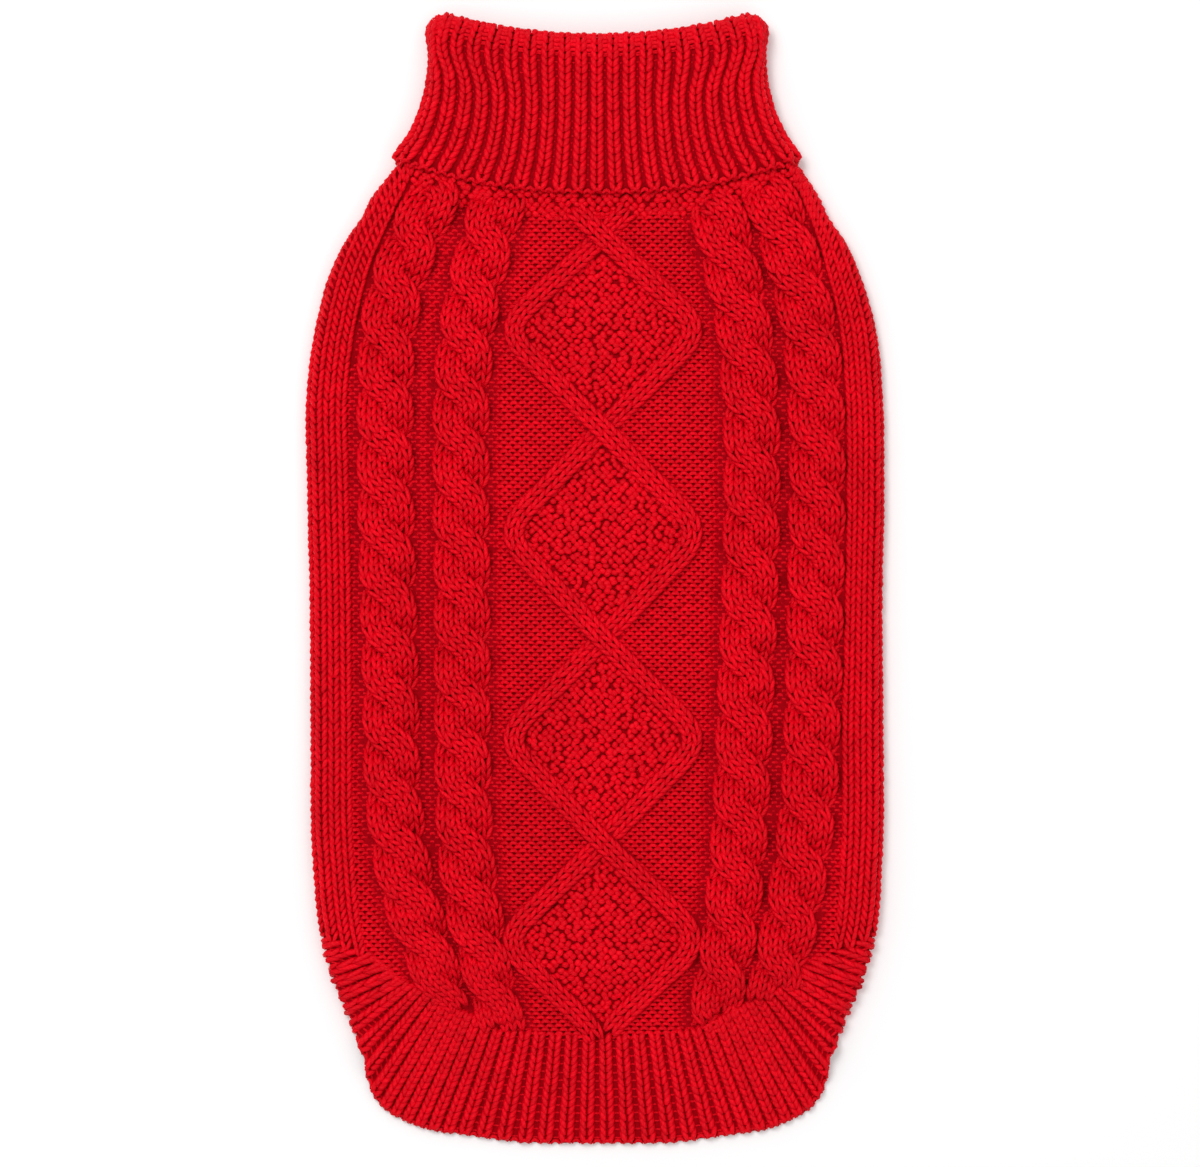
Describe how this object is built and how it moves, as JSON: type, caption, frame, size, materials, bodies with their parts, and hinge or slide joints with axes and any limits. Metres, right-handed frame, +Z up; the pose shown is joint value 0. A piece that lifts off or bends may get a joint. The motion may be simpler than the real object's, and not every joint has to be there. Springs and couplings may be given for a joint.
{
  "type": "dog sweater",
  "caption": "Cable-knit sweater for a dog, laid flat: ribbed turtleneck collar, rope cables beside moss-stitch diamonds, curved ribbed rear band and foreleg holes in the belly.",
  "frame": {"origin": "on the surface it lies on, under the middle of the garment's box", "axes": "+Y along the garment to the collar, +X to the garment's right as seen from above, +Z up out of the back"},
  "size_m": [0.2312, 0.4509, 0.0135],
  "materials": {
    "back_panel": "cable knit, worsted acrylic yarn",
    "belly_panel": "plain stockinette knit, worsted acrylic yarn",
    "collar": "1 x 1 rib knit, worsted acrylic yarn",
    "hem_rib": "1 x 1 rib knit, worsted acrylic yarn"
  },
  "bodies": {
    "root": {"back_panel": "back_panel", "belly_panel": "belly_panel", "collar": "collar", "hem_rib": "hem_rib"}
  },
  "joints": []
}
